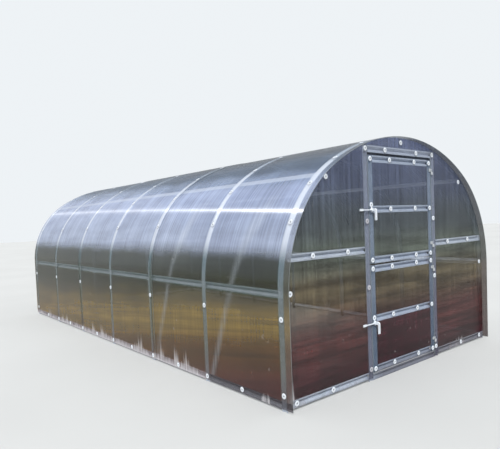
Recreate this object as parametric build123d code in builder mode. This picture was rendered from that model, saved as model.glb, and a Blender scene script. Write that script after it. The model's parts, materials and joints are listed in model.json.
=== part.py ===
"""Arched greenhouse: seven bent V-profile arches under twin-wall sheets, with a stable door.

X runs across, Y along and Z up, with the door gable facing -Y. The origin is on the ground,
under the middle of the whole.
"""

import os
from math import atan2, cos, radians, sin, sqrt

from build123d import *

# Overall form, in millimetres
arch_span = 2982  # between the outer faces of an arch's legs
crown_height = 2091  # outer face of an arch at the ridge
leg_height = 860  # straight part of an arch's leg
shoulder_angle = 56.7  # turned by each shoulder arc, in degrees; the crown arc turns the rest
bay_length = 1000  # from one arch to the next
bay_count = 6

# V profile: two flanges beside an open groove
flange_width = 12
groove_mouth = 36
groove_depth = 20
gauge = 1.5

# Sheets
sheet_thickness = 4
roof_overhang = 90  # past the centre of the end arches
end_sheet_reach = 10  # an end sheet past the centre of the arch that it shares
middle_sheet_reach = 50  # the middle sheet past the arches that it shares
bays_per_sheet = 2
sheet_lift = 20  # lower edge of the sheets and base rails over the ground
sheet_seat = 0.3  # between a sheet and what it is screwed to
edge_gap = 1.5  # round the edge of a gable sheet
joint_gap = 0.3  # where the end of a profile meets another

# Purlins, inside the arches
side_purlin_height = 860
shoulder_purlin_angle = 53  # round the shoulder, from the level

# Gables
opening_width = 980  # between the door posts
header_drop = 121  # centre of the profile over the door, below the crown
gable_rail_height = 1120  # centre of the rails beside the door
sill_height = 54
sill_flange = 9  # above and below the sill's groove
sill_groove_depth = 12
sill_depth = 30
sill_gauge = 2

# Two-leaf door
leaf_gap = 6  # between a leaf and the posts
lower_leaf_bottom = 63
lower_leaf_top = 983
upper_leaf_bottom = 997
head_gap = 23  # between the upper leaf and the header
upper_mid_rail_height = 1460
lower_mid_rail_height = 526

# Lift-off hinges
knuckle_radius = 5
knuckle_height = 28
pin_radius = 2.5
pin_clearance = 0.08
pin_length = 22
hinge_plate_width = 34
hinge_plate_thickness = 2
hinge_inset = 110  # from the end of a leaf to the middle of its hinge
hinge_standoff = 0.5  # knuckle off the sheet

# Turn latches
latch_drops = {"upper": 5, "lower": 36}  # spindle's axis below the leaf's middle rail
boss_width = 38
boss_length = 50
boss_corner = 5
boss_height = 9
spindle_radius = 5
spindle_clearance = 0.08
hub_radius = 13
hub_height = 7
neck_reach = 44  # from the boss to the front of the handle
neck_width = 24
handle_width = 16
handle_thickness = 14
handle_bend = 18
handle_edge = 5
handle_length = 90  # from the spindle's axis to the handle's end
tongue_length = 168
tongue_width = 8
tongue_pad_length = 42
tongue_pad_width = 18

# Worked out from the sizes above
half_span = arch_span / 2
profile_width = 2 * flange_width + groove_mouth
half_profile = profile_width / 2
profile_depth = groove_depth + gauge / sin(atan2(groove_mouth / 2, groove_depth))
arch_count = bay_count + 1
crown_angle = 180 - 2 * shoulder_angle

# The shoulder and crown arcs that run tangent from the leg up to the ridge
rise = crown_height - leg_height
turn_cos = cos(radians(shoulder_angle))
turn_sin = sin(radians(shoulder_angle))
spread = turn_cos * turn_sin - (1 - turn_cos) * (1 - turn_sin)
shoulder_radius = (turn_cos * rise - (1 - turn_sin) * half_span) / spread
crown_radius = (turn_sin * half_span - (1 - turn_cos) * rise) / spread
shoulder_offset = half_span - shoulder_radius

face_reach = half_profile + sheet_seat + sheet_thickness
front_reach = face_reach + boss_height + neck_reach
first_arch = -(bay_length * bay_count - max(front_reach - roof_overhang, 0)) / 2
last_arch = first_arch + bay_length * bay_count
arch_places = [first_arch + bay_length * number for number in range(arch_count)]
front_plane = first_arch - half_profile
rear_plane = last_arch + half_profile
front_face = first_arch - face_reach
half_opening = opening_width / 2
post_place = half_opening + half_profile
base_rail_height = sheet_lift + half_profile
header_height = crown_height - header_drop
header_bottom = header_height - half_profile
upper_leaf_top = header_bottom - head_gap

FRONT, REAR = Vector(0, -1, 0), Vector(0, 1, 0)

# Section of the V profile: flanges on the local X axis, groove below it
with BuildSketch() as profile_section:
    with BuildLine():
        Polyline(
            (-half_profile, 0),
            (-groove_mouth / 2, 0),
            (0, -groove_depth),
            (groove_mouth / 2, 0),
            (half_profile, 0),
        )
        offset(amount=gauge, side=Side.RIGHT, kind=Kind.INTERSECTION)
    make_face()
profile = profile_section.sketch


def arch_line(inset):
    """Edges of the arch's line, inset from the outer face of its flanges, in the sketch plane."""
    with BuildLine() as line:
        left_leg = Line((inset - half_span, 0), (inset - half_span, leg_height))
        left_shoulder = JernArc(left_leg @ 1, left_leg % 1, shoulder_radius - inset, -shoulder_angle)
        crown = JernArc(left_shoulder @ 1, left_shoulder % 1, crown_radius - inset, -crown_angle)
        right_shoulder = JernArc(crown @ 1, crown % 1, shoulder_radius - inset, -shoulder_angle)
        Line(right_shoulder @ 1, (half_span - inset, 0))
    return line.line


def arch_face(inset):
    """The area under the arch's line, in the sketch plane."""
    with BuildSketch() as face:
        with BuildLine():
            add(arch_line(inset))
            Line((half_span - inset, 0), (inset - half_span, 0))
        make_face()
    return face.sketch


def cross_plane(place):
    """The upright plane across the greenhouse at a place along it, facing the front."""
    return Plane.XZ.offset(-place)


def profile_bar(start, end, outward):
    """Add a straight profile from start to end, its flanges facing outward."""
    run = Vector(*end) - Vector(*start)
    with BuildSketch(Plane(origin=start, x_dir=outward.cross(run), z_dir=run)) as section:
        add(profile)
    extrude(section.sketch, amount=run.length)


def trim_to_arch(inset, place):
    """Keep what lies under the arch's line, near a place along the greenhouse."""
    with BuildSketch(cross_plane(place)) as limit:
        add(arch_face(inset))
    extrude(limit.sketch, amount=2 * profile_width, both=True, mode=Mode.INTERSECT)


def finish(piece, name):
    """Label a piece and write its file."""
    piece.part.label = name
    export_step(piece.part, f"parts/{name}.step")


os.makedirs("parts", exist_ok=True)

# Arches: the profile swept up one leg, over the ridge and down the other
for number, place in enumerate(arch_places, start=1):
    with BuildPart() as arch:
        foot = Plane(origin=(-half_span, place, 0), x_dir=(0, 1, 0), z_dir=(0, 0, 1))
        with BuildSketch(foot):
            add(profile)
        sweep(path=cross_plane(place) * arch_line(0))
    finish(arch, f"arch_{number}")

# Purlins: along the inside of all the arches, flanges on their grooves
purlin_start = front_plane + joint_gap
purlin_end = rear_plane - joint_gap


def purlin_seat(radius):
    """How far inside the arch's line a flat purlin clears a curve of that radius."""
    inner = radius - profile_depth
    return profile_depth + joint_gap + inner - sqrt(inner**2 - half_profile**2)


def purlin(across, height, outward):
    """Add a purlin along the whole greenhouse."""
    profile_bar((across, purlin_start, height), (across, purlin_end, height), outward)


with BuildPart() as ridge_purlin:
    purlin(0, crown_height - purlin_seat(crown_radius), Vector(0, 0, 1))
finish(ridge_purlin, "ridge_purlin")

for side_name, side in (("left", -1), ("right", 1)):
    lean = radians(shoulder_purlin_angle)
    radius = shoulder_radius - purlin_seat(shoulder_radius)
    with BuildPart() as shoulder_purlin:
        purlin(
            side * (shoulder_offset + radius * cos(lean)),
            leg_height + radius * sin(lean),
            Vector(side * cos(lean), 0, sin(lean)),
        )
    finish(shoulder_purlin, f"{side_name}_shoulder_purlin")
    with BuildPart() as side_purlin:
        inside = half_span - purlin_seat(shoulder_radius)
        purlin(side * inside, side_purlin_height, Vector(side, 0, 0))
    finish(side_purlin, f"{side_name}_side_purlin")
    with BuildPart() as base_rail:
        for place in arch_places[:-1]:
            start = place + half_profile + joint_gap
            end = place + bay_length - half_profile - joint_gap
            profile_bar(
                (side * half_span, start, base_rail_height),
                (side * half_span, end, base_rail_height),
                Vector(side, 0, 0),
            )
    finish(base_rail, f"{side_name}_base_rail")

# Gable frames: two posts up to the arch, a header, side rails and base rails
arch_inset = profile_depth + joint_gap
for gable, plane_place, outward in (("front", front_plane, FRONT), ("rear", rear_plane, REAR)):
    with BuildPart() as posts:
        for side in (-1, 1):
            across = side * post_place
            profile_bar((across, plane_place, 0), (across, plane_place, crown_height), outward)
        trim_to_arch(arch_inset, plane_place)
    with BuildPart() as header:
        reach = half_opening - joint_gap
        profile_bar((-reach, plane_place, header_height), (reach, plane_place, header_height), outward)
    with BuildPart() as side_rails:
        for side in (-1, 1):
            inner = side * (half_opening + profile_width + joint_gap)
            profile_bar(
                (inner, plane_place, gable_rail_height),
                (side * half_span, plane_place, gable_rail_height),
                outward,
            )
        trim_to_arch(arch_inset, plane_place)
    with BuildPart() as base_rails:
        for side in (-1, 1):
            inner = side * (half_opening + profile_width + joint_gap)
            profile_bar(
                (inner, plane_place, base_rail_height),
                (side * half_span, plane_place, base_rail_height),
                outward,
            )
        trim_to_arch(arch_inset, plane_place)
    finish(posts, f"{gable}_posts")
    finish(header, f"{gable}_header")
    finish(side_rails, f"{gable}_side_rails")
    finish(base_rails, f"{gable}_base_rails")

# Between the rear posts, the side rails and the base rail run on
with BuildPart() as rear_mid_rails:
    reach = half_opening - joint_gap
    for height in (gable_rail_height, base_rail_height):
        profile_bar((-reach, rear_plane, height), (reach, rear_plane, height), REAR)
finish(rear_mid_rails, "rear_mid_rails")

# Sill under the door: an angle with one leg on the ground and a groove pressed in the other
with BuildPart() as door_sill:
    sill_reach = half_opening - joint_gap
    with BuildSketch(Plane(origin=(-sill_reach, front_plane, 0), x_dir=(0, 1, 0), z_dir=(1, 0, 0))):
        with BuildLine():
            Polyline(
                (0, sill_height),
                (0, sill_height - sill_flange),
                (sill_groove_depth, sill_height / 2),
                (0, sill_flange),
                (0, 0),
                (sill_depth, 0),
            )
            offset(amount=sill_gauge, side=Side.LEFT, kind=Kind.INTERSECTION)
        make_face()
    extrude(amount=2 * sill_reach)
finish(door_sill, "door_sill")

# Roof sheets: the middle one laps over the two end ones, over an arch
first_lap = arch_places[bays_per_sheet]
second_lap = arch_places[-1 - bays_per_sheet]
roof_bays = (
    ("roof_sheet_1", first_arch - roof_overhang, first_lap + end_sheet_reach, sheet_seat),
    (
        "roof_sheet_2",
        first_lap - middle_sheet_reach,
        second_lap + middle_sheet_reach,
        2 * sheet_seat + sheet_thickness,
    ),
    ("roof_sheet_3", second_lap - end_sheet_reach, last_arch + roof_overhang, sheet_seat),
)
for name, start, end, clearance in roof_bays:
    with BuildPart() as roof_sheet:
        with BuildSketch(cross_plane(start)):
            add(arch_face(-clearance - sheet_thickness))
            add(arch_face(-clearance), mode=Mode.SUBTRACT)
            with Locations((0, sheet_lift / 2)):
                Rectangle(2 * arch_span, sheet_lift, mode=Mode.SUBTRACT)
        extrude(amount=start - end)
    finish(roof_sheet, name)

# Gable sheets: left and right of the opening, and above it
sheet_edge = half_opening + edge_gap
gable_sheets = (
    ("left_sheet", -half_span, -sheet_edge, sheet_lift),
    ("right_sheet", sheet_edge, half_span, sheet_lift),
)
front_top = ("top_sheet", edge_gap - sheet_edge, sheet_edge - edge_gap, header_bottom + edge_gap)
rear_middle = ("middle_sheet", edge_gap - sheet_edge, sheet_edge - edge_gap, sheet_lift)
gable_sets = (
    ("front", front_plane - sheet_seat, 1, gable_sheets + (front_top,)),
    ("rear", rear_plane + sheet_seat, -1, gable_sheets + (rear_middle,)),
)
for gable, back, direction, sheets in gable_sets:
    for name, low, high, bottom in sheets:
        with BuildPart() as gable_sheet:
            with BuildSketch(cross_plane(back)):
                add(arch_face(edge_gap))
                with BuildSketch(mode=Mode.INTERSECT):
                    with Locations(((low + high) / 2, (bottom + crown_height) / 2)):
                        Rectangle(high - low, crown_height - bottom)
            extrude(amount=direction * sheet_thickness)
        finish(gable_sheet, f"{gable}_{name}")

# Door leaves: two stiles, three rails and a sheet each
leaf_edge = half_opening - leaf_gap
stile_place = leaf_edge - half_profile
leaves = (
    ("upper", upper_leaf_bottom, upper_mid_rail_height, upper_leaf_top),
    ("lower", lower_leaf_bottom, lower_mid_rail_height, lower_leaf_top),
)
pin_place = Vector(half_opening - leaf_gap / 2, front_face - hinge_standoff - knuckle_radius)
hinge_back = knuckle_radius + hinge_standoff


def hinge_plate(height, side):
    """Add a hinge plate that lies on the sheet, and the knuckle beside it."""
    with BuildSketch(Plane.XY.offset(height)) as section:
        with Locations((pin_place.X, pin_place.Y)):
            Circle(knuckle_radius)
        with Locations((pin_place.X + side * hinge_plate_width / 2, pin_place.Y + hinge_back)):
            Rectangle(
                hinge_plate_width,
                hinge_plate_thickness + hinge_standoff,
                align=(Align.CENTER, Align.MAX),
            )
    extrude(section.sketch, amount=knuckle_height)


for leaf, bottom, middle, top in leaves:
    with BuildPart() as stiles:
        for side in (-1, 1):
            across = side * stile_place
            profile_bar((across, front_plane, bottom), (across, front_plane, top), FRONT)
    finish(stiles, f"{leaf}_leaf_stiles")

    with BuildPart() as rails:
        reach = stile_place - half_profile - joint_gap
        for height in (bottom + half_profile, middle, top - half_profile):
            profile_bar((-reach, front_plane, height), (reach, front_plane, height), FRONT)
    finish(rails, f"{leaf}_leaf_rails")

    with BuildPart() as leaf_sheet:
        with BuildSketch(cross_plane(front_plane - sheet_seat)):
            with Locations((0, (bottom + top) / 2)):
                Rectangle(2 * leaf_edge, top - bottom)
        extrude(amount=sheet_thickness)
    finish(leaf_sheet, f"{leaf}_leaf_sheet")

    with BuildPart() as leaf_hinges:
        for height in (bottom + hinge_inset, top - hinge_inset):
            hinge_plate(height + joint_gap, -1)
            with BuildSketch(Plane.XY.offset(height + joint_gap)) as bore:
                with Locations((pin_place.X, pin_place.Y)):
                    Circle(pin_radius + pin_clearance)
            extrude(bore.sketch, amount=pin_length + joint_gap, mode=Mode.SUBTRACT)
    finish(leaf_hinges, f"{leaf}_leaf_hinges")

# Hinge halves on the right post, each with its pin
with BuildPart() as post_hinges:
    for leaf, bottom, middle, top in leaves:
        for height in (bottom + hinge_inset, top - hinge_inset):
            hinge_plate(height - knuckle_height, 1)
            with BuildSketch(Plane.XY.offset(height)) as pin:
                with Locations((pin_place.X, pin_place.Y)):
                    Circle(pin_radius)
            extrude(pin.sketch, amount=pin_length)
finish(post_hinges, "post_hinges")

# Turn latches: a boss on the left stile, and a lever with its spindle and tongue
hub_start = boss_height + joint_gap
for leaf, bottom, middle, top in leaves:
    axis = Vector(-stile_place, front_face, middle - latch_drops[leaf])
    boss_plane = Plane(origin=axis, x_dir=(1, 0, 0), z_dir=FRONT)
    with BuildPart() as boss:
        with BuildSketch(boss_plane):
            with BuildLine():
                FilletPolyline(
                    (boss_width / 2, 0),
                    (0, boss_length / 2),
                    (-boss_width / 2, 0),
                    (0, -boss_length / 2),
                    radius=boss_corner,
                    close=True,
                )
            make_face()
            Circle(spindle_radius + spindle_clearance, mode=Mode.SUBTRACT)
        extrude(amount=boss_height)
    finish(boss, f"{leaf}_latch_boss")

    with BuildPart() as latch:
        with BuildSketch(boss_plane.offset(joint_gap)):
            Circle(spindle_radius)
        extrude(amount=boss_height)
        with BuildSketch(boss_plane.offset(hub_start)):
            Circle(hub_radius)
            with Locations((-tongue_length / 2, 0)):
                Rectangle(tongue_length, tongue_width)
            with Locations((tongue_pad_length / 2 - tongue_length, 0)):
                Rectangle(tongue_pad_length, tongue_pad_width)
        extrude(amount=hub_height)
        with BuildSketch(Plane(origin=boss_plane.origin, x_dir=FRONT, z_dir=(-1, 0, 0))):
            lever_front = boss_height + neck_reach
            lever_back = lever_front - handle_thickness
            half_neck = neck_width / 2
            with BuildLine():
                lever = FilletPolyline(
                    (hub_start, half_neck),
                    (lever_front, half_neck),
                    (lever_front, -handle_length),
                    (lever_back, -handle_length),
                    (lever_back, -half_neck),
                    (hub_start, -half_neck),
                    radius=[handle_bend, handle_edge, handle_edge, handle_bend - handle_thickness],
                )
                Line(lever @ 1, lever @ 0)
            make_face()
        extrude(amount=handle_width / 2, both=True)
    finish(latch, f"{leaf}_latch")
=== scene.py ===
"""Looks of the arched greenhouse: twin-wall sheets, galvanised members, fasteners and latches.

Metres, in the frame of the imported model: X across, Y along with the door gable facing -Y, Z up.
Colours are linear RGB. A range from one value to another may fall as well as rise.
"""

import json
from math import cos, pi, radians, sin

import bmesh
import bpy
from mathutils import Matrix, Vector


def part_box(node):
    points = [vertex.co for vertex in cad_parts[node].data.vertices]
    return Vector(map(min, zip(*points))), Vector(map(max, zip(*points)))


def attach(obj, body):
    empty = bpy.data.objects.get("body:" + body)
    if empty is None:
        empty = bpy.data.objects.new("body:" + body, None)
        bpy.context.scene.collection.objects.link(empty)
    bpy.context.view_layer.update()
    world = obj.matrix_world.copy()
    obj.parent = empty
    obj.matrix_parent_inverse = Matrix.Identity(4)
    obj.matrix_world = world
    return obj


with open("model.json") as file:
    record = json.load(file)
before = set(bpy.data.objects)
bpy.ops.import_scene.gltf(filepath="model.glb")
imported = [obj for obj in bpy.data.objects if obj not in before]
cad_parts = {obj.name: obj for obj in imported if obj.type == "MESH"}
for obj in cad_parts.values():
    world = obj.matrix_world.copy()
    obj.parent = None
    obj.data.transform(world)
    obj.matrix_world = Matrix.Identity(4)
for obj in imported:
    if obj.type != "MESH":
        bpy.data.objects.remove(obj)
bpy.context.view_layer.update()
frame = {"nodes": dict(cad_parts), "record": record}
nodes = frame["nodes"]

# Photograph's frame and the camera that was fitted to it
IMAGE_WIDTH, IMAGE_HEIGHT = 500, 449
CAMERA_PLACE = Vector((-3.828, -5.592, 1.397))
CAMERA_YAW, CAMERA_PITCH, CAMERA_ROLL = radians(40.237), radians(-2.656), radians(-2.248)
FOCAL_PIXELS = 487.91
CENTRE_U, CENTRE_V = 263.37, 243.58
SENSOR_WIDTH = 36.0

# As in the part's source: the arch's line, the width of the strip and the leaves' mid rails
LEG_HEIGHT = 0.860
SHOULDER_TURN = radians(56.7)
ARCH_COUNT = 7
PROFILE_WIDTH = 0.060
MID_RAILS = {"upper": 1.460, "lower": 0.526}


def centre(name):
    """The middle of a node's box."""
    low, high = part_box(name)
    return (low + high) / 2


arch_places = [centre(f"arch_{number}").y for number in range(1, ARCH_COUNT + 1)]
first_arch, last_arch = arch_places[0], arch_places[-1]
bay_length = arch_places[1] - first_arch
base_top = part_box("left_base_rail")[1].z


# Shader nodes


def set_inputs(tree, node, values):
    """Set a node's inputs. Each takes a number, a colour or another node's output."""
    for name, value in values.items():
        if isinstance(value, bpy.types.NodeSocket):
            tree.links.new(value, node.inputs[name])
        else:
            node.inputs[name].default_value = value


def add_node(tree, kind, inputs=None, **settings):
    """Add a shader node with its settings and inputs."""
    made = tree.nodes.new(kind)
    for name, value in settings.items():
        setattr(made, name, value)
    set_inputs(tree, made, inputs or {})
    return made


def calc(tree, operation, *values):
    """The output of a math node."""
    return add_node(tree, "ShaderNodeMath", dict(enumerate(values)), operation=operation).outputs[0]


def times(tree, product, *factors):
    """The product of a value and some factors."""
    for factor in factors:
        product = calc(tree, "MULTIPLY", product, factor)
    return product


def spread(tree, value, low, high, to_low=0.0, to_high=1.0):
    """A value mapped smoothly from one range to another."""
    inputs = {"Value": value, "From Min": low, "From Max": high}
    inputs.update({"To Min": to_low, "To Max": to_high})
    return add_node(tree, "ShaderNodeMapRange", inputs, interpolation_type="SMOOTHSTEP").outputs[0]


def band(tree, value, low, high, soft=0.003):
    """One between two limits and nothing outside them."""
    rise = spread(tree, value, low - soft, low + soft)
    fall = spread(tree, value, high + soft, high - soft)
    return times(tree, rise, fall)


def mix(tree, factor, first, second):
    """Two values mixed by a factor."""
    return add_node(tree, "ShaderNodeMix", {0: factor, 2: first, 3: second}).outputs[0]


def vector(tree, x=0.0, y=0.0, z=0.0):
    """A vector of three values."""
    return add_node(tree, "ShaderNodeCombineXYZ", {"X": x, "Y": y, "Z": z}).outputs[0]


def parts(tree, whole):
    """The X, Y and Z of a vector."""
    return add_node(tree, "ShaderNodeSeparateXYZ", {"Vector": whole}).outputs


def noise(tree, place, scale, detail=2.0, roughness=0.5):
    """A noise value, about 0.5 on average."""
    inputs = {"Vector": place, "Scale": scale, "Detail": detail, "Roughness": roughness}
    return add_node(tree, "ShaderNodeTexNoise", inputs).outputs[0]


def strip_noise(tree, across, width):
    """A random value for each strip of a width."""
    strip = calc(tree, "FLOOR", calc(tree, "DIVIDE", across, width))
    made = add_node(tree, "ShaderNodeTexWhiteNoise", {"W": strip}, noise_dimensions="1D")
    return made.outputs["Value"]


def opaque(colour):
    """A colour with its alpha, or another node's output as it is."""
    return colour if isinstance(colour, bpy.types.NodeSocket) else (*colour, 1.0)


def blend(tree, factor, first, second, kind="MIX"):
    """Two colours mixed by a factor."""
    inputs = {0: factor, 6: opaque(first), 7: opaque(second)}
    return add_node(tree, "ShaderNodeMix", inputs, data_type="RGBA", blend_type=kind).outputs[2]


def coat(tree, mask, colour, film, strength):
    """A colour with a film over it, as strong as given where a mask is one."""
    return blend(tree, times(tree, mask, strength), colour, film)


def tint(tree, factor, colour, tone):
    """A colour multiplied by a tone, as far as a factor says."""
    return blend(tree, factor, colour, tone, "MULTIPLY")


def shade(tree, colour, value):
    """A colour multiplied by a value."""
    grey = add_node(tree, "ShaderNodeCombineColor", {0: value, 1: value, 2: value}).outputs[0]
    return tint(tree, 1.0, colour, grey)


def bump(tree, height, strength, distance):
    """The normal of a surface with bumps."""
    inputs = {"Height": height, "Strength": strength, "Distance": distance}
    return add_node(tree, "ShaderNodeBump", inputs).outputs[0]


def start_material(name):
    """A new material with only a Principled shader, and its node tree and shader."""
    material = bpy.data.materials.new(name)
    material.use_nodes = True
    tree = material.node_tree
    tree.nodes.clear()
    shader = add_node(tree, "ShaderNodeBsdfPrincipled")
    output = add_node(tree, "ShaderNodeOutputMaterial")
    tree.links.new(shader.outputs[0], output.inputs["Surface"])
    return material, tree, shader


# Film on the sheets: painted reflection, light and shade, with real splash and smudges


# Colours by height, painted reflection of soil, garden and sky: brown low down, olive above, cool
# grey at the top
GABLE_FILM = (
    (0.05, (0.026, 0.005, 0.008)),
    (0.45, (0.056, 0.018, 0.017)),
    (0.85, (0.096, 0.080, 0.048)),
    (1.10, (0.092, 0.110, 0.092)),
    (1.35, (0.070, 0.086, 0.096)),
    (1.75, (0.092, 0.112, 0.178)),
    (2.09, (0.145, 0.175, 0.295)),
)
LEAF_FILM = (
    (0.05, (0.016, 0.001, 0.004)),
    (0.45, (0.034, 0.008, 0.012)),
) + GABLE_FILM[2:]
# Painted reflection: the roof mirrors the sky above its shoulder, and is dark near the ridge
ROOF_FILM = (
    (0.05, (0.060, 0.012, 0.010)),
    (0.38, (0.082, 0.037, 0.007)),
    (0.58, (0.205, 0.135, 0.028)),
    (0.90, (0.016, 0.020, 0.004)),
    (1.08, (0.048, 0.058, 0.054)),
    (1.24, (0.430, 0.495, 0.660)),
    (1.70, (0.430, 0.500, 0.700)),
    (1.82, (0.270, 0.340, 0.490)),
    (1.92, (0.060, 0.105, 0.180)),
    (2.09, (0.008, 0.025, 0.055)),
)
# The right half of the roof stands away from the light
SHADED_FILM = (
    (0.05, (0.060, 0.024, 0.020)),
    (0.60, (0.070, 0.040, 0.024)),
    (1.05, (0.045, 0.050, 0.036)),
    (1.50, (0.064, 0.074, 0.102)),
    (2.09, (0.088, 0.108, 0.165)),
)
# Painted light on the roof's sheet in front of a member, for the lit member behind: teal and dull
# on the walls, pale on the shoulder
BACKED_FILM = (
    (0.10, (0.098, 0.075, 0.066)),
    (0.34, (0.088, 0.095, 0.054)),
    (0.86, (0.066, 0.104, 0.080)),
    (1.06, (0.098, 0.160, 0.185)),
    (1.26, (0.740, 0.790, 0.890)),
    (1.80, (0.740, 0.790, 0.890)),
    (1.92, (0.360, 0.430, 0.530)),
    (2.09, (0.180, 0.240, 0.330)),
)
FILM_TOP = 2.1

# Painted light on the gables' sheets in front of a header, a post and a stile, for how those
# members look behind them
HEADER_FILM = (0.62, 0.65, 0.76)
POST_FILM = (0.118, 0.124, 0.180)
STILE_FILM = (0.085, 0.140, 0.215)

# Tones that multiply the film's colour: painted reflection on the far wall and the near roof,
# painted shade on a gable's upper right, and dull streaks
FAR_WALL_TONE = (0.80, 0.72, 0.50)
NEAR_ROOF_TONE = (0.90, 0.92, 0.95)
UPPER_RIGHT_TONE = (0.76, 0.76, 0.76)
DULL_TONE = (0.78, 0.78, 0.80)

SMUDGE_COLOUR = (0.34, 0.33, 0.32)
SPLASH_COLOUR = (0.70, 0.68, 0.70)
CUT_EDGE_COLOUR = (0.24, 0.27, 0.28)
OVERHANG_COLOUR = (0.50, 0.50, 0.47)
# Colours of the painted gleam, low and high
LOW_GLEAM, HIGH_GLEAM = (0.33, 0.37, 0.40), (0.75, 0.82, 0.95)
# Painted shade and light on the base rail, near by and further off: its upper part and its lower
# flange
NEAR_RAIL_SHADES = (0.020, 0.010, 0.016), (0.110, 0.100, 0.120)
FAR_RAIL_SHADES = (0.270, 0.215, 0.225), (0.680, 0.620, 0.660)

# Looks of each kind of sheet. Opacity is near the foot, on the wall and above it.
ROOF_LOOK = {
    "on_roof": True,
    "flute_axis": "Y",
    "film": ROOF_FILM,
    "opacity": (0.82, 0.66, 0.44),
    "gloss": 0.38,
    "patch_tones": (0.84, 1.18),
    "strata_tones": (0.86, 1.14),
    "line_range": (0.60, 1.05),
    "line_tone": 1.16,
    "flute_tones": (0.90, 1.10),
}
GABLE_LOOK = {
    "on_roof": False,
    "flute_axis": "X",
    "film": GABLE_FILM,
    "opacity": (0.75, 0.48, 0.46),
    "gloss": 0.20,
    "patch_tones": (0.68, 1.50),
    "strata_tones": (0.80, 1.20),
    "line_range": (0.58, 0.92),
    "line_tone": 1.50,
    "flute_tones": (0.80, 1.20),
}
LEAF_LOOK = {**GABLE_LOOK, "film": LEAF_FILM, "opacity": (0.88, 0.50, 0.48)}

# What adds to a sheet's opacity, and what the part past the front arch loses
GRAZING_OPACITY, LINE_OPACITY, SPLASH_OPACITY, EDGE_OPACITY = 0.24, 0.03, 0.20, 0.50
OVERHANG_LOSS = 0.20
SHADED_OPACITY = 0.78
MOST_OPAQUE = 0.97
# Light that falls through the sheets is little weakened, though they look dull
SHADOW_PART = 0.30
SHEET_IOR = 1.58

# Noises on the sheets: their scales, and how little they change down the flutes
FLUTE_PITCH = 0.0105
FINE_SCALE, MIDDLE_SCALE, WIDE_SCALE, RIPPLE_SCALE = 190.0, 45.0, 3.5, 70.0
DOWN_FLUTES = 0.02
CLOUD_SCALE, CLOUD_STRETCH = 7.0, (0.30, 0.30, 1.0)
SMUDGE_SCALE = 21.0

# Strength and distance of bumps
SHEET_BUMP, STEEL_BUMP, PLASTIC_BUMP = (0.08, 0.0006), (0.12, 0.0006), (0.10, 0.0002)

# Layers on the long walls lie level when seen from the front left corner, as a mirrored garden
# does. The depths are the camera's from that corner and from the middle of the wall, and the
# step of depth along it.
LAYERS_MEET = 1.10
NEAR_DEPTH, MIDDLE_DEPTH, DEPTH_STEP = 3.86, 5.77, 0.763
# The painted dark reflection at the ridge comes lower with each metre along the roof, and the whole
# film wavers
RIDGE_SLOPE = -0.028
WAVER = 0.09

# Middle line of the painted gleam, a reflection streak, in each bay: how far it leans for each
# metre up, and where it starts
GLEAM_LEAN, GLEAM_FOOT = 0.40, 0.05

# Splash: where it is fullest, its lowest top, how much higher it reaches and how fast it fades
SPLASH_FOOT, SPLASH_TOP, SPLASH_RISE, SPLASH_FADE = 0.03, 0.055, 0.27, 1.7
SPLASH_STRIP, SPLASH_BLOCK, SPLASH_SCALE = 2 * FLUTE_PITCH, 9 * FLUTE_PITCH, 1.7

# How clear the sheets are in front of the members behind them
UPRIGHT_CLEAR, HEADER_CLEAR, LEVEL_CLEAR = 0.46, 0.82, 0.97
LOW_ARCH_CLEAR, HIGH_ARCH_CLEAR = 0.48, 0.10
BASE_RAIL_CLEAR = 0.35
PURLINS_CLEAR = {"left_side_purlin": 0.56, "left_shoulder_purlin": 0.027}

# Limits of a band that is open on one side
NO_LOWER, NO_UPPER = -1.0, 2.0


class Spot:
    """A point of a sheet: its place, the way it faces, and noises that its shader's parts share."""

    def __init__(self, tree, flute_axis):
        coords = add_node(tree, "ShaderNodeTexCoord").outputs
        self.place = coords["Object"]
        place = parts(tree, self.place)
        self.x, self.y, self.height = place["X"], place["Y"], place["Z"]
        self.across = place[flute_axis]
        self.facing = parts(tree, coords["Normal"])[flute_axis]
        self.right_half = spread(tree, self.x, -0.05, 0.25)

        # Noises that hardly change down the flutes, and one of wide level clouds
        self.down_flutes = vector(tree, self.across, times(tree, self.height, DOWN_FLUTES))
        self.fine = noise(tree, self.down_flutes, FINE_SCALE, 1.0)
        self.middle = noise(tree, self.down_flutes, MIDDLE_SCALE)
        self.wide = noise(tree, self.down_flutes, WIDE_SCALE)
        inputs = {"Vector": self.place, "Scale": CLOUD_STRETCH}
        stretched = add_node(tree, "ShaderNodeMapping", inputs).outputs[0]
        self.cloud = noise(tree, stretched, CLOUD_SCALE, 3.0)


def film_colour(tree, height, film):
    """The colour of a film at a height."""
    ramp = add_node(tree, "ShaderNodeValToRGB", {"Fac": calc(tree, "DIVIDE", height, FILM_TOP)})
    ramp.color_ramp.interpolation = "EASE"
    elements = ramp.color_ramp.elements
    while len(elements) < len(film):
        elements.new(1.0)
    for element, (stop, colour) in zip(elements, film):
        element.position = stop / FILM_TOP
        element.color = opaque(colour)
    return ramp.outputs[0]


def wall_layer(tree, spot):
    """The height on the front left corner of the layer that a spot of a long wall lies in."""
    depth = calc(tree, "MULTIPLY_ADD", spot.across, DEPTH_STEP, MIDDLE_DEPTH)
    shrink = calc(tree, "SUBTRACT", 1.0, calc(tree, "DIVIDE", NEAR_DEPTH, depth))
    below = calc(tree, "MAXIMUM", calc(tree, "SUBTRACT", LAYERS_MEET, spot.height), 0.0)
    return calc(tree, "MULTIPLY_ADD", below, shrink, spot.height)


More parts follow.
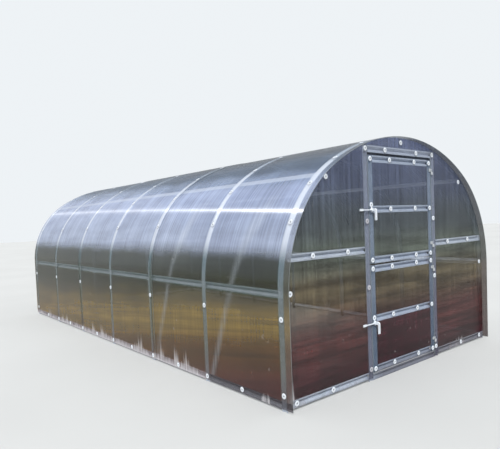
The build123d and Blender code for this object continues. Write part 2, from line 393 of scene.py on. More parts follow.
def base_film(tree, spot, layer, look):
    """The film's colour by its height, which wavers a little: painted reflection, with painted
    shade on the roof's right half.
    """
    waver = times(tree, calc(tree, "SUBTRACT", spot.cloud, 0.5), WAVER)
    if look["on_roof"]:
        slope = times(tree, spot.across, RIDGE_SLOPE)
        waver = calc(tree, "ADD", waver, times(tree, slope, spread(tree, spot.height, 1.35, 1.75)))
    level = calc(tree, "ADD", layer, waver)
    colour = film_colour(tree, level, look["film"])
    if look["on_roof"]:
        colour = blend(tree, spot.right_half, colour, film_colour(tree, level, SHADED_FILM))
    return colour


def layered(tree, spot, layer, colour, scales, roughness, noise_range, tones, fade):
    """A colour with level layers of noise, which fade in down a range of heights."""
    place = vector(
        tree,
        times(tree, spot.x, scales[0]),
        times(tree, spot.y, scales[1]),
        times(tree, layer, scales[2]),
    )
    tone = spread(tree, noise(tree, place, 1.0, 2.0, roughness), *noise_range, *tones)
    return shade(tree, colour, mix(tree, spread(tree, spot.height, *fade), 1.0, tone))


def roof_tones(tree, spot, colour):
    """Painted reflection: the far part of a wall is browner, and the near part of the roof duller.
    """
    on_wall = spread(tree, spot.height, 1.15, 0.95)
    far_wall = times(tree, spread(tree, spot.across, -1.5, 3.0), on_wall)
    colour = tint(tree, far_wall, colour, FAR_WALL_TONE)
    above_wall = spread(tree, spot.height, 1.2, 1.5)
    near_roof = times(tree, spread(tree, spot.across, 2.0, -3.0), above_wall)
    return tint(tree, near_roof, colour, NEAR_ROOF_TONE)


def gable_tones(tree, spot, colour):
    """Painted shade: the upper right part of a gable is duller."""
    to_right = spread(tree, spot.across, -0.6, 1.2)
    upper_right = times(tree, to_right, spread(tree, spot.height, 0.9, 1.4))
    return tint(tree, upper_right, colour, UPPER_RIGHT_TONE)


def members_behind_gable(tree, colour, backed, upright_film):
    """Painted light: a pale film in front of the lit header, and another in front of posts or
    stiles, for how they look behind the sheet.

    The mask tells the members apart, since each kind has a clearness of its own.
    """
    header = times(tree, spread(tree, backed, 0.70, 0.78), spread(tree, backed, 0.93, 0.86))
    colour = coat(tree, header, colour, HEADER_FILM, strength=0.9)
    upright = times(tree, spread(tree, backed, 0.1, 0.4), spread(tree, backed, 0.7, 0.6))
    return coat(tree, upright, colour, upright_film, strength=0.8)


def members_behind_roof(tree, spot, colour, backed):
    """Painted light: a film in front of arches and purlins for the lit members behind, fainter on
    the right half.
    """
    strength = calc(tree, "SUBTRACT", 0.85, times(tree, spot.right_half, 0.60))
    behind = spread(tree, backed, 0.0, 0.06)
    return coat(tree, behind, colour, film_colour(tree, spot.height, BACKED_FILM), strength)


def gleam(tree, spot, colour):
    """A painted pale gleam, a reflection streak, that leans forward from the foot of each near
    arch.
    """
    bays = calc(tree, "DIVIDE", calc(tree, "SUBTRACT", spot.across, first_arch), bay_length)
    to_next_arch = calc(tree, "SUBTRACT", 1.0, calc(tree, "FRACT", bays))
    middle_line = calc(tree, "MULTIPLY_ADD", spot.height, GLEAM_LEAN, GLEAM_FOOT)
    away = calc(tree, "SUBTRACT", times(tree, to_next_arch, bay_length), middle_line)
    half_width = spread(tree, spot.height, 0.9, 1.5, 0.062, 0.130)
    outward = calc(tree, "DIVIDE", calc(tree, "ABSOLUTE", away), half_width)
    strength = times(
        tree,
        spread(tree, calc(tree, "SUBTRACT", 1.0, outward), 0.0, 1.0),
        spread(tree, spot.across, -0.6, -1.6),
        spread(tree, spot.height, 1.75, 1.30),
        spread(tree, spot.x, -0.3, -0.8),
        spread(tree, spot.middle, 0.3, 0.7, 0.16, 0.46),
    )
    upward = spread(tree, spot.height, 1.1, 1.3)
    return blend(tree, strength, colour, blend(tree, upward, LOW_GLEAM, HIGH_GLEAM))


def base_rail(tree, spot, colour):
    """Painted shade and light on the left base rail: dark in the first bay and pale further off,
    its lower flange paler than its upper part.
    """
    lower_flange = band(tree, spot.height, 0.015, 0.036, 0.006)
    near_rail, far_rail = blend(tree, lower_flange, *NEAR_RAIL_SHADES), blend(tree, lower_flange, *FAR_RAIL_SHADES)
    second_arch = first_arch + bay_length
    further_off = spread(tree, spot.across, second_arch - 0.06, second_arch + 0.06)
    on_rail = spread(tree, spot.height, base_top + 0.004, base_top - 0.004)
    strength = times(tree, on_rail, spread(tree, spot.x, -0.7, -0.8, 0.0, 0.9))
    return blend(tree, strength, colour, blend(tree, further_off, near_rail, far_rail))


def splash_mask(tree, spot, on_roof):
    """Splash that dried in the flutes above the base rail, most of it along the long walls."""
    strip = strip_noise(tree, spot.across, SPLASH_STRIP)
    block = strip_noise(tree, spot.across, SPLASH_BLOCK)
    ragged = calc(tree, "MULTIPLY_ADD", strip, 0.6, 0.4)
    cluster = calc(tree, "MULTIPLY_ADD", spread(tree, block, 0.60, 0.85), 0.72, 0.28)
    patch = noise(tree, vector(tree, spot.across), SPLASH_SCALE, 1.0)
    more = spread(tree, spot.across, -2.1, -1.7, -0.14, 0.10) if on_roof else -0.09
    patch = spread(tree, calc(tree, "ADD", patch, more), 0.44, 0.58)
    reach = times(tree, cluster, patch, ragged)
    if on_roof:
        reach = times(tree, reach, spread(tree, spot.across, -0.5, 2.0, 1.0, 0.55))
    top = calc(tree, "MULTIPLY_ADD", reach, SPLASH_RISE, SPLASH_TOP)
    below_top = calc(tree, "SUBTRACT", top, spot.height)
    depth = calc(tree, "DIVIDE", below_top, calc(tree, "SUBTRACT", top, SPLASH_FOOT))
    splash = calc(tree, "POWER", spread(tree, depth, 0.0, 0.85), SPLASH_FADE)
    return times(tree, splash, ragged, spread(tree, reach, 0.0, 0.15))


def plain_opacity(tree, spot, look):
    """How opaque a sheet's film is by height, and more so when seen at a grazing angle."""
    foot, low, high = look["opacity"]
    opacity = spread(tree, spot.height, LEG_HEIGHT + 0.15, LEG_HEIGHT + 0.45, low, high)
    opacity = mix(tree, spread(tree, spot.height, 0.88, 0.35), opacity, foot)
    if look["on_roof"]:
        opacity = mix(tree, spot.right_half, opacity, SHADED_OPACITY)
    grazing = add_node(tree, "ShaderNodeLayerWeight", {"Blend": 0.35}).outputs["Facing"]
    return calc(tree, "ADD", opacity, times(tree, grazing, GRAZING_OPACITY))


def clearer_for_light(tree, opacity):
    """An opacity that is lower for the rays that light what stands behind the sheet."""
    rays = add_node(tree, "ShaderNodeLightPath").outputs
    falling = calc(tree, "MAXIMUM", rays["Is Shadow Ray"], rays["Is Diffuse Ray"])
    return times(tree, opacity, spread(tree, falling, 0.0, 1.0, 1.0, SHADOW_PART))


def sheet_material(name, look, backing, upright_film=None):
    """Clear twin-wall sheet with flutes and a film of colour: painted reflection, light and shade,
    with real splash and smudges.

    The film is thin where a member backs the sheet; backing makes that mask from a spot. An upright
    film is the painted colour in front of a gable's posts or stiles.
    """
    material, tree, shader = start_material(name)
    on_roof = look["on_roof"]
    spot = Spot(tree, look["flute_axis"])
    backed = backing(tree, spot)
    layer = wall_layer(tree, spot) if on_roof else spot.height

    # Soft level patches, as if a garden were mirrored in the sheet, and thin strata low down
    colour = base_film(tree, spot, layer, look)
    colour = layered(
        tree, spot, layer, colour, scales=(1.2, 0.35, 14.0), roughness=0.5,
        noise_range=(0.36, 0.66), tones=look["patch_tones"], fade=(1.45, 0.95),
    )
    colour = layered(
        tree, spot, layer, colour, scales=(1.1, 0.9, 52.0), roughness=0.6,
        noise_range=(0.34, 0.66), tones=look["strata_tones"], fade=(0.95, 0.55),
    )
    colour = (roof_tones if on_roof else gable_tones)(tree, spot, colour)

    # Fine pale lines down the flutes, broad soft dull ones, and a tone of its own for each flute
    lines = calc(tree, "ADD", times(tree, spot.fine, 0.5), spot.middle)
    lines = spread(tree, lines, *look["line_range"])
    colour = tint(tree, lines, colour, (look["line_tone"],) * 3)
    dull = calc(tree, "ADD", times(tree, spot.wide, 0.5), times(tree, spot.cloud, 0.5))
    colour = tint(tree, spread(tree, dull, 0.40, 0.62), colour, DULL_TONE)
    flute = strip_noise(tree, spot.across, FLUTE_PITCH)
    colour = shade(tree, colour, spread(tree, flute, 0.0, 1.0, *look["flute_tones"]))

    if upright_film:
        colour = members_behind_gable(tree, colour, backed, upright_film)
    smudge = spread(tree, noise(tree, spot.place, SMUDGE_SCALE), 0.70, 0.80)
    colour = coat(tree, smudge, colour, SMUDGE_COLOUR, strength=0.35)
    if on_roof:
        colour = gleam(tree, spot, colour)
        colour = members_behind_roof(tree, spot, colour, backed)
        # The sheet is painted paler, for the light that shows through it, and is clearer where it
        # runs past the front arch
        overhang = spread(tree, spot.across, first_arch - 0.030, first_arch - 0.036)
        on_left = spread(tree, spot.right_half, 1.0, 0.0, 0.0, 0.13)
        colour = coat(tree, overhang, colour, OVERHANG_COLOUR, strength=on_left)
        colour = base_rail(tree, spot, colour)
    splash = splash_mask(tree, spot, on_roof)
    colour = coat(tree, splash, colour, SPLASH_COLOUR, strength=0.80)
    cut_edge = spread(tree, calc(tree, "ABSOLUTE", spot.facing), 0.90, 0.97)
    colour = blend(tree, cut_edge, colour, CUT_EDGE_COLOUR)

    opacity = plain_opacity(tree, spot, look)
    opacity = calc(tree, "ADD", opacity, times(tree, lines, LINE_OPACITY))
    opacity = times(tree, opacity, calc(tree, "SUBTRACT", 1.0, backed))
    if on_roof:
        remainder = calc(tree, "MULTIPLY_ADD", overhang, -OVERHANG_LOSS, 1.0)
        opacity = times(tree, opacity, remainder)
    opacity = calc(tree, "ADD", opacity, times(tree, splash, SPLASH_OPACITY))
    opacity = calc(tree, "ADD", opacity, times(tree, cut_edge, EDGE_OPACITY))
    opacity = calc(tree, "MINIMUM", opacity, MOST_OPAQUE)

    axis = "Y" if on_roof else "Z"
    tangent = add_node(tree, "ShaderNodeTangent", direction_type="RADIAL", axis=axis).outputs[0]
    set_inputs(tree, shader, {
        "Base Color": colour,
        "Alpha": clearer_for_light(tree, opacity),
        "Normal": bump(tree, noise(tree, spot.down_flutes, RIPPLE_SCALE, 1.0), *SHEET_BUMP),
        "Tangent": tangent,
        "Roughness": spread(tree, spot.middle, 0.3, 0.7, 0.195, 0.205),
        "IOR": SHEET_IOR,
        "Specular IOR Level": look["gloss"],
        "Anisotropic": 1.0,
        "Anisotropic Rotation": 0.25 if on_roof else 0.0,
    })
    return material


def roof_backing(tree, spot):
    """How clear the roof's sheets are where arches, base rails and purlins back them."""
    half_width = PROFILE_WIDTH / 2
    from_first = calc(tree, "SUBTRACT", spot.y, first_arch)
    from_arch = calc(tree, "PINGPONG", from_first, bay_length / 2)
    by_height = spread(tree, spot.height, LEG_HEIGHT, 1.25, LOW_ARCH_CLEAR, HIGH_ARCH_CLEAR)
    total = times(tree, band(tree, from_arch, NO_LOWER, half_width), by_height)
    rails = times(tree, band(tree, spot.height, NO_LOWER, base_top - 0.004), BASE_RAIL_CLEAR)
    total = calc(tree, "MAXIMUM", total, rails)
    for name, clear in PURLINS_CLEAR.items():
        low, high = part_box(name)
        purlin = times(tree, band(tree, spot.height, low.z, high.z, 0.006), clear)
        total = calc(tree, "MAXIMUM", total, purlin)
    inside = band(tree, spot.y, first_arch - half_width, last_arch + half_width)
    return times(tree, total, inside)


def gable_backing(members):
    """A maker of the mask of members behind a flat sheet.

    Each member is a range of distances from the middle, a range of heights and a clearness.
    """
    def mask(tree, spot):
        from_middle = calc(tree, "ABSOLUTE", spot.x)
        total = 0.0
        for (inner, outer), (bottom, top), clear in members:
            width = band(tree, from_middle, inner, outer)
            member = times(tree, width, band(tree, spot.height, bottom, top), clear)
            total = calc(tree, "MAXIMUM", total, member)
        return total
    return mask


def gable_members(end):
    """The fixed members of a gable."""
    def height_range(name):
        low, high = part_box(f"{end}_{name}")
        return low.z, high.z

    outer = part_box(f"{end}_posts")[1].x
    base_start = outer if end == "front" else NO_LOWER
    return [
        ((outer - PROFILE_WIDTH, outer), height_range("posts"), UPRIGHT_CLEAR),
        ((NO_LOWER, outer), height_range("header"), HEADER_CLEAR),
        ((outer, NO_UPPER), height_range("side_rails"), LEVEL_CLEAR),
        ((base_start, NO_UPPER), height_range("base_rails"), LEVEL_CLEAR),
    ]


def leaf_members():
    """The stiles and rails of both leaves."""
    half_width = PROFILE_WIDTH / 2
    members = []
    for leaf, mid_rail in MID_RAILS.items():
        low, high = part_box(f"{leaf}_leaf_stiles")
        inner = high.x - PROFILE_WIDTH
        members.append(((inner, high.x), (low.z, high.z), UPRIGHT_CLEAR))
        for rail in (low.z + half_width, mid_rail, high.z - half_width):
            heights = (rail - half_width, rail + half_width)
            members.append(((NO_LOWER, inner), heights, LEVEL_CLEAR))
    return members


# Steel and plastic


# Tones that multiply the steel's colour: of its spangle, and by place, where two are painted shade
DARK_SPANGLE, PALE_SPANGLE = 0.80, 1.10
FOOT_TONE = (0.42, 0.38, 0.38)
DOOR_TONE = (0.84, 0.87, 0.93)
# Painted shade low on the right of the door, and on the right half of the arches behind the first
LOW_RIGHT_TONE = (0.70, 0.67, 0.70)
RIGHT_BEHIND_TONE = (0.45, 0.46, 0.48)
# Scales of noises
STEEL_DULL_SCALE, STEEL_GRAIN_SCALE = 9.0, 420.0
DUST_SCALE, PLASTIC_GRAIN_SCALE = 35.0, 1500.0


def tones_and_painted_shade(tree, place, colour):
    """Steel's colour by place, darker at the door's foot, with painted shade.

    The door and its frame are duller and bluer, and painted shade makes them more so low on the
    right. The right half of the arches behind the first has painted shade and is dark.
    """
    where = parts(tree, place)
    x, y, height = where["X"], where["Y"], where["Z"]
    at_foot = times(tree, spread(tree, height, 0.13, 0.05), spread(tree, x, -0.7, -0.3))
    colour = tint(tree, at_foot, colour, FOOT_TONE)
    in_front = spread(tree, y, first_arch + 0.04, first_arch + 0.01)
    by_door = times(tree, in_front, spread(tree, calc(tree, "ABSOLUTE", x), 0.60, 0.56))
    colour = tint(tree, by_door, colour, DOOR_TONE)
    # Painted shade low on the right of the door, and on the right half of the arches behind the
    # first
    low_right = times(tree, spread(tree, x, 0.36, 0.42), spread(tree, height, 1.15, 0.85))
    colour = tint(tree, times(tree, by_door, low_right), colour, LOW_RIGHT_TONE)
    behind = spread(tree, y, first_arch + 0.5, first_arch + 0.6)
    right_behind = times(tree, behind, spread(tree, x, 0.1, 0.6))
    return tint(tree, right_behind, colour, RIGHT_BEHIND_TONE)


def metal_material(name, base, roughness_range, spangle_size, metallic=0.75, place_tones=None):
    """Zinc-coated steel with spangle and a little dulling. Place tones, painted shade among them,
    change its colour by place.
    """
    material, tree, shader = start_material(name)
    place = add_node(tree, "ShaderNodeTexCoord").outputs["Object"]
    inputs = {"Vector": place, "Scale": 1.0 / spangle_size}
    cells = add_node(tree, "ShaderNodeTexVoronoi", inputs).outputs["Color"]
    cell = add_node(tree, "ShaderNodeSeparateColor", {"Color": cells}).outputs[0]
    dull = noise(tree, place, STEEL_DULL_SCALE, 4.0)
    grain = noise(tree, place, STEEL_GRAIN_SCALE)
    tone = calc(tree, "ADD", times(tree, cell, 0.5), times(tree, dull, 0.7))
    dark = [DARK_SPANGLE * part for part in base]
    pale = [min(1.0, PALE_SPANGLE * part) for part in base]
    colour = blend(tree, spread(tree, tone, 0.25, 0.95), dark, pale)
    relief = calc(tree, "ADD", times(tree, grain, 0.6), times(tree, cell, 0.4))
    set_inputs(tree, shader, {
        "Base Color": place_tones(tree, place, colour) if place_tones else colour,
        "Roughness": spread(tree, tone, 0.2, 0.9, *roughness_range),
        "Normal": bump(tree, relief, *STEEL_BUMP),
        "Metallic": metallic,
    })
    return material


def plastic_material(name, base, grime):
    """Moulded plastic: fine grain, slightly yellowed and dusty in places."""
    material, tree, shader = start_material(name)
    place = add_node(tree, "ShaderNodeTexCoord").outputs["Object"]
    dust = noise(tree, place, DUST_SCALE, 4.0)
    grain = noise(tree, place, PLASTIC_GRAIN_SCALE, 1.0)
    set_inputs(tree, shader, {
        "Base Color": blend(tree, spread(tree, dust, 0.45, 0.8, 0.0, 0.5), base, grime),
        "Roughness": spread(tree, dust, 0.3, 0.7, 0.28, 0.45),
        "Normal": bump(tree, grain, *PLASTIC_BUMP),
    })
    return material


roof_film = sheet_material("roof_sheet_film", ROOF_LOOK, roof_backing)
front_film = sheet_material(
    "front_sheet_film", GABLE_LOOK, gable_backing(gable_members("front")), POST_FILM
)
rear_film = sheet_material(
    "rear_sheet_film", GABLE_LOOK, gable_backing(gable_members("rear")), POST_FILM
)
leaf_film = sheet_material("leaf_sheet_film", LEAF_LOOK, gable_backing(leaf_members()), STILE_FILM)

GALVANISED_ROUGHNESS = (0.30, 0.42)
GALVANISED_SPANGLE = 0.009
GALVANISED_METALLIC = 0.12
galvanised = metal_material(
    "galvanised_steel", (0.44, 0.49, 0.57),
    GALVANISED_ROUGHNESS, GALVANISED_SPANGLE, GALVANISED_METALLIC, tones_and_painted_shade,
)
# A paler copy of the galvanised steel: painted light for the members that show through the gable
painted_lit_galvanised = metal_material(
    "painted_lit_galvanised_steel", (0.70, 0.76, 0.86),
    GALVANISED_ROUGHNESS, GALVANISED_SPANGLE, GALVANISED_METALLIC,
)
hinge_steel = metal_material("zinc_plate", (0.62, 0.64, 0.66), (0.22, 0.36), 0.004)
screw_steel = metal_material("screw_steel", (0.30, 0.31, 0.33), (0.25, 0.40), 0.003)
white_plastic = plastic_material("white_plastic", (0.88, 0.93, 0.99), (0.74, 0.77, 0.81))
# A darker copy of the white plastic, painted shade for the three washers on the left post that look
# dim
dull_plastic = plastic_material("painted_dim_plastic", (0.52, 0.52, 0.57), (0.44, 0.42, 0.42))
# A duller copy of the white plastic for the washers on the bent part, painted dimmer so that they
# stand out little from the pale arch
roof_plastic = plastic_material("dim_roof_plastic", (0.64, 0.68, 0.74), (0.58, 0.62, 0.68))

# Sheets by the first word of their names, and the other nodes by their slots. The steel of the rear
# and the right shows through the gable, and is painted paler, as if more brightly lit.
SHEET_FILMS = {
    "roof": roof_film,
    "front": front_film,
    "rear": rear_film,
    "upper": leaf_film,
    "lower": leaf_film,
}
SLOT_MATERIALS = {
    "galvanised": galvanised,
    "hinge_steel": hinge_steel,
    "white_plastic": white_plastic,
}
for subpart in frame["record"]["subparts"]:
    first_word = subpart["node"].split("_")[0]
    if subpart["material_slot"] == "clear_sheet":
        material = SHEET_FILMS[first_word]
    elif first_word in ("rear", "right"):
        material = painted_lit_galvanised
    else:
        material = SLOT_MATERIALS[subpart["material_slot"]]
    for slot in nodes[subpart["node"]].material_slots:
        slot.material = material


# Washers and screws


def new_piece(name, mesh, material, body):
    """Link a mesh as a piece that rides on a body."""
    piece = bpy.data.objects.new(name, mesh)
    bpy.context.scene.collection.objects.link(piece)
    piece.data.materials.append(material)
    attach(piece, body)


def lathe(mesh, outline, segments, place):
    """Turn an outline of (radius, height) about the local Z axis of a place."""
    rings = []
    for radius, height in outline:
        if radius == 0:
            rings.append([mesh.verts.new(place @ Vector((0, 0, height)))])
            continue
        ring = []
        for step in range(segments):
            turn = 2 * pi * step / segments
            point = Vector((radius * cos(turn), radius * sin(turn), height))
            ring.append(mesh.verts.new(place @ point))
        rings.append(ring)
    for lower, upper in zip(rings, rings[1:]):
        for step in range(segments):
            after = (step + 1) % segments
            if len(upper) == 1:
                mesh.faces.new((lower[step], lower[after], upper[0]))
            else:
                mesh.faces.new((lower[step], lower[after], upper[after], upper[step]))


# Washer outline from its rim to the recess, and the screw's flanged hexagon head
WASHER_OUTLINE = (
    (0.0215, 0.0000),
    (0.0220, 0.0008),
    (0.0215, 0.0020),
    (0.0193, 0.0031),
    (0.0158, 0.0037),
    (0.0112, 0.0038),
    (0.0088, 0.0034),
    (0.0080, 0.0020),
    (0.0078, 0.0010),
    (0.0, 0.0010),
)
FLANGE_OUTLINE = ((0.0066, 0.0010), (0.0066, 0.0016), (0.0050, 0.0020), (0.0, 0.0020))
HEAD_OUTLINE = ((0.0044, 0.0018), (0.0044, 0.0036), (0.0038, 0.0042), (0.0, 0.0042))
WASHER_SEGMENTS, FLANGE_SEGMENTS, HEAD_SEGMENTS = 24, 16, 6
SHARP_ANGLE = radians(35)


def add_fasteners(body, places, prefix="", plastic=white_plastic):
    """One mesh of washers and one of screws, at places on a body with their normals."""
    washer = ((WASHER_OUTLINE, WASHER_SEGMENTS),)
    screw = ((FLANGE_OUTLINE, FLANGE_SEGMENTS), (HEAD_OUTLINE, HEAD_SEGMENTS))
    for kind, outlines, material, slot_name in (
        (f"{prefix}washers", washer, plastic, "white_plastic"),
        (f"{prefix}screws", screw, screw_steel, "hinge_steel"),
    ):
        mesh = bmesh.new()
        for point, normal in places:
            turn = normal.to_track_quat("Z", "Y").to_matrix().to_4x4()
            for outline, segments in outlines:
                lathe(mesh, outline, segments, Matrix.Translation(point) @ turn)
        bmesh.ops.recalc_face_normals(mesh, faces=mesh.faces)
        data = bpy.data.meshes.new(f"{body}_{kind}")
        mesh.to_mesh(data)
        mesh.free()
        data.shade_smooth()
        data.set_sharp_from_angle(angle=SHARP_ANGLE)
        new_piece(f"{body}_{kind}", data, material, body)


# Radii of the arch's shoulder and crown, from the size of the first arch, and the length of its
# line from the ground to the ridge
half_span, crown_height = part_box("arch_1")[1].x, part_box("arch_1")[1].z
rise = crown_height - LEG_HEIGHT
turn_cos, turn_sin = cos(SHOULDER_TURN), sin(SHOULDER_TURN)
determinant = turn_cos * turn_sin - (1 - turn_cos) * (1 - turn_sin)
shoulder_radius = (turn_cos * rise - (1 - turn_sin) * half_span) / determinant
crown_radius = (turn_sin * half_span - (1 - turn_cos) * rise) / determinant
shoulder_length = shoulder_radius * SHOULDER_TURN
ridge_run = LEG_HEIGHT + shoulder_length + crown_radius * (pi / 2 - SHOULDER_TURN)

# Faces of the sheets that washers lie on, and heights of the rails behind them
end_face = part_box("roof_sheet_1")[1].x
middle_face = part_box("roof_sheet_2")[1].x
front_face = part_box("front_left_sheet")[0].y
rear_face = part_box("rear_left_sheet")[1].y
door_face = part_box("upper_leaf_sheet")[0].y
base_height = centre("left_base_rail").z
rail_height = centre("front_side_rails").z
header_height = centre("front_header").z

# Runs of the arches' fasteners, up the line from the ground. The legs have one halfway up, and
# the bent part one about every third of a metre.
END_FOOT_RUN = 0.12
LEG_RUN = 0.68
FIRST_BENT_RUN = 1.40
RUN_STEP = 0.362
RIDGE_GAP = 0.1

# Fasteners of a gable: distances from the middle and heights, each side alike
POST_INSET = 0.035
post_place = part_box("front_posts")[1].x - POST_INSET
SIDE_FASTENERS = (
    (1.01, 1.72),
    (1.43, 0.86),
    (1.18, rail_height),
    (0.775, rail_height),
    (1.40, base_height),
    (1.00, base_height),
    (post_place, header_height),
)
POST_HEIGHTS = (1.36, 0.80, 0.10)
INNER_PLACE = 0.24
RIDGE_HEIGHT = 2.05

# Fasteners of a leaf: three rows of four, and the one beside the latch stands above it
STILE_INSET, RAIL_INSET = 0.03, 0.03
RAIL_PLACES = (-0.178, 0.205)
LATCH_CLEARANCE = 0.043


def arch_point(run, side, lift):
    """A point and normal on the arch's line, a run up from the ground, lifted off it."""
    if run <= LEG_HEIGHT:
        return Vector((side * (half_span + lift), 0, run)), Vector((side, 0, 0))
    if run <= LEG_HEIGHT + shoulder_length:
        turn = (run - LEG_HEIGHT) / shoulder_radius
        hub, radius = Vector((half_span - shoulder_radius, 0, LEG_HEIGHT)), shoulder_radius
    else:
        turn = SHOULDER_TURN + (run - LEG_HEIGHT - shoulder_length) / crown_radius
        hub, radius = Vector((0, 0, crown_height - crown_radius)), crown_radius
    normal = Vector((cos(turn), 0, sin(turn)))
    point = hub + normal * (radius + lift)
    return Vector((side * point.x, 0, point.z)), Vector((side * normal.x, 0, normal.z))


def at_front(across, height):
    """A place on the front gable."""
    return Vector((across, front_face, height)), Vector((0, -1, 0))


def at_rear(across, height):
    """A place on the rear gable."""
    return Vector((across, rear_face, height)), Vector((0, 1, 0))


def arch_fasteners():
    """Places on the legs and base rails, and places on the bent part of the arches.

    The middle roof sheet laps over the third and the fifth arch.
    """
    runs = [LEG_RUN, FIRST_BENT_RUN]
    while runs[-1] + RUN_STEP < ridge_run - RIDGE_GAP:
        runs.append(runs[-1] + RUN_STEP)
    on_leg, on_bend = [], []
    for number, along in enumerate(arch_places, 1):
        face = middle_face if 3 <= number <= 5 else end_face
        lowest = END_FOOT_RUN if number in (1, ARCH_COUNT) else base_height
        for side in (-1, 1):
            for run in [lowest] + runs:
                point, normal = arch_point(run, side, face - half_span)
                places = on_bend if run > LEG_HEIGHT else on_leg
                places.append((point + Vector((0, along, 0)), normal))
            if number < ARCH_COUNT:
                bay_face = middle_face if 3 <= number <= 4 else end_face
                point, normal = arch_point(base_height, side, bay_face - half_span)
                middle_of_bay = (along + arch_places[number]) / 2
                on_leg.append((point + Vector((0, middle_of_bay, 0)), normal))
    return on_leg, on_bend


def gable_fasteners():
    """Places on both gables, and the three on the left post whose washers look dull."""
    places, dull_places = [], []
    for side in (-1, 1):
        for across, height in SIDE_FASTENERS:
            places += [at_front(side * across, height), at_rear(side * across, height)]
        for height in POST_HEIGHTS:
            (dull_places if side < 0 else places).append(at_front(side * post_place, height))
            places.append(at_rear(side * post_place, height))
        inner = side * INNER_PLACE
        places += [at_front(inner, header_height), at_rear(inner, header_height)]
        places += [at_rear(inner, rail_height), at_rear(inner, base_height)]
    places += [at_front(0, RIDGE_HEIGHT), at_rear(0, RIDGE_HEIGHT)]
    return places, dull_places


def leaf_fasteners(leaf):
    """Places on a leaf of the door."""
    low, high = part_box(f"{leaf}_leaf_rails")
    stile_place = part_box("upper_leaf_stiles")[1].x - STILE_INSET
    latch_height = centre(f"{leaf}_latch_boss").z
    places = []
    for height in (low.z + RAIL_INSET, MID_RAILS[leaf], high.z - RAIL_INSET):
        for across in (-stile_place, *RAIL_PLACES, stile_place):
            at_latch = height == MID_RAILS[leaf] and across == -stile_place
            z = latch_height + LATCH_CLEARANCE if at_latch else height
            places.append((Vector((across, door_face, z)), Vector((0, -1, 0))))
    return places


leg_places, bend_places = arch_fasteners()
gable_places, dull_gable_places = gable_fasteners()
add_fasteners("greenhouse", leg_places + gable_places)
add_fasteners("greenhouse", dull_gable_places, "dull_", dull_plastic)
add_fasteners("greenhouse", bend_places, "roof_", roof_plastic)
for leaf in ("upper", "lower"):
    add_fasteners(f"{leaf}_leaf", leaf_fasteners(leaf))


# Studio


FLOOR_RADIUS = 60.0
SEEN_FLOOR = (0.60, 0.60, 0.59), (0.63, 0.63, 0.62)
LIGHTING_FLOOR = (0.29, 0.28, 0.27)
SURROUND_COLOUR = (0.93, 0.97, 1.0)
SURROUND_SEEN = 0.92
SURROUND_LIGHT = (0.28, 0.95)
KEY_TOWARD, KEY_ENERGY, KEY_SOFTNESS = Vector((-0.50, -0.55, 0.72)), 2.6, 14
# The direction that the photograph's bright line along the roof was fitted to
GLINT_TOWARD, GLINT_ENERGY, GLINT_SOFTNESS = Vector((-0.394, 0.582, 0.711)), 1.45, 0.3
VIEW_END = 200.0


def add_sun(name, toward, energy, softness):
    """A sun lamp from a direction, as wide as its softness in degrees."""
    data = bpy.data.lights.new(name, "SUN")
    data.energy = energy
    data.angle = radians(softness)
    lamp = bpy.data.objects.new(name, data)
    lamp.rotation_euler = toward.to_track_quat("Z", "Y").to_euler()
    bpy.context.scene.collection.objects.link(lamp)
    return lamp


def seen_ray(tree):
    """One for the rays that show the floor and the surround, and nothing for those that light."""
    rays = add_node(tree, "ShaderNodeLightPath").outputs
    seen = calc(tree, "MAXIMUM", rays["Is Camera Ray"], rays["Is Glossy Ray"])
    return calc(tree, "MAXIMUM", seen, rays["Is Transmission Ray"])


def pale_floor():
    """A plain pale floor."""
    mesh = bmesh.new()
    bmesh.ops.create_circle(mesh, cap_ends=True, segments=96, radius=FLOOR_RADIUS)
    data = bpy.data.meshes.new("floor")
    mesh.to_mesh(data)
    mesh.free()
    floor = bpy.data.objects.new("floor", data)
    bpy.context.scene.collection.objects.link(floor)
    material, tree, shader = start_material("floor_paper")
    place = add_node(tree, "ShaderNodeTexCoord").outputs["Object"]
    pale = blend(tree, spread(tree, noise(tree, place, 0.4, 3.0), 0.3, 0.7), *SEEN_FLOOR)
    set_inputs(tree, shader, {
        "Base Color": blend(tree, seen_ray(tree), LIGHTING_FLOOR, pale),
        "Roughness": 0.9,
        "Specular IOR Level": 0.1,
    })
    floor.data.materials.append(material)


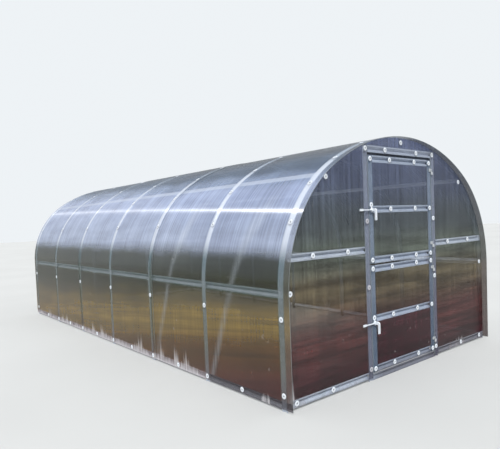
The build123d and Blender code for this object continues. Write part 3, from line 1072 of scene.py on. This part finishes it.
def pale_surround():
    """A surround that looks plain and pale, and gives more light from above."""
    world = bpy.data.worlds.new("studio")
    bpy.context.scene.world = world
    world.use_nodes = True
    tree = world.node_tree
    tree.nodes.clear()
    direction = add_node(tree, "ShaderNodeTexCoord").outputs["Generated"]
    light = spread(tree, parts(tree, direction)["Z"], -0.1, 0.9, *SURROUND_LIGHT)
    background = add_node(tree, "ShaderNodeBackground", {
        "Color": opaque(SURROUND_COLOUR),
        "Strength": mix(tree, seen_ray(tree), light, SURROUND_SEEN),
    })
    output = add_node(tree, "ShaderNodeOutputWorld")
    tree.links.new(background.outputs[0], output.inputs["Surface"])


def studio_lamps():
    """A soft key lamp, and one that only makes the bright line along the roof."""
    add_sun("key", KEY_TOWARD, KEY_ENERGY, KEY_SOFTNESS)
    add_sun("glint", GLINT_TOWARD, GLINT_ENERGY, GLINT_SOFTNESS).visible_diffuse = False


def photograph_camera():
    """The camera at the photograph's place, turned and shifted as it was."""
    forward = Vector((
        sin(CAMERA_YAW) * cos(CAMERA_PITCH),
        cos(CAMERA_YAW) * cos(CAMERA_PITCH),
        sin(CAMERA_PITCH),
    ))
    level = Vector((cos(CAMERA_YAW), -sin(CAMERA_YAW), 0))
    upward = level.cross(forward)
    right = level * cos(CAMERA_ROLL) + upward * sin(CAMERA_ROLL)
    top = upward * cos(CAMERA_ROLL) - level * sin(CAMERA_ROLL)
    data = bpy.data.cameras.new("camera")
    data.sensor_width = SENSOR_WIDTH
    data.lens = FOCAL_PIXELS / IMAGE_WIDTH * SENSOR_WIDTH
    data.shift_x = (IMAGE_WIDTH / 2 - CENTRE_U) / IMAGE_WIDTH
    data.shift_y = (CENTRE_V - IMAGE_HEIGHT / 2) / IMAGE_WIDTH
    data.clip_end = VIEW_END
    camera = bpy.data.objects.new("camera", data)
    turn = Matrix((right, top, -forward)).transposed()
    camera.matrix_world = Matrix.Translation(CAMERA_PLACE) @ turn.to_4x4()
    bpy.context.scene.collection.objects.link(camera)
    bpy.context.scene.camera = camera


pale_floor()
pale_surround()
studio_lamps()
photograph_camera()
bpy.context.scene.view_settings.view_transform = "Standard"
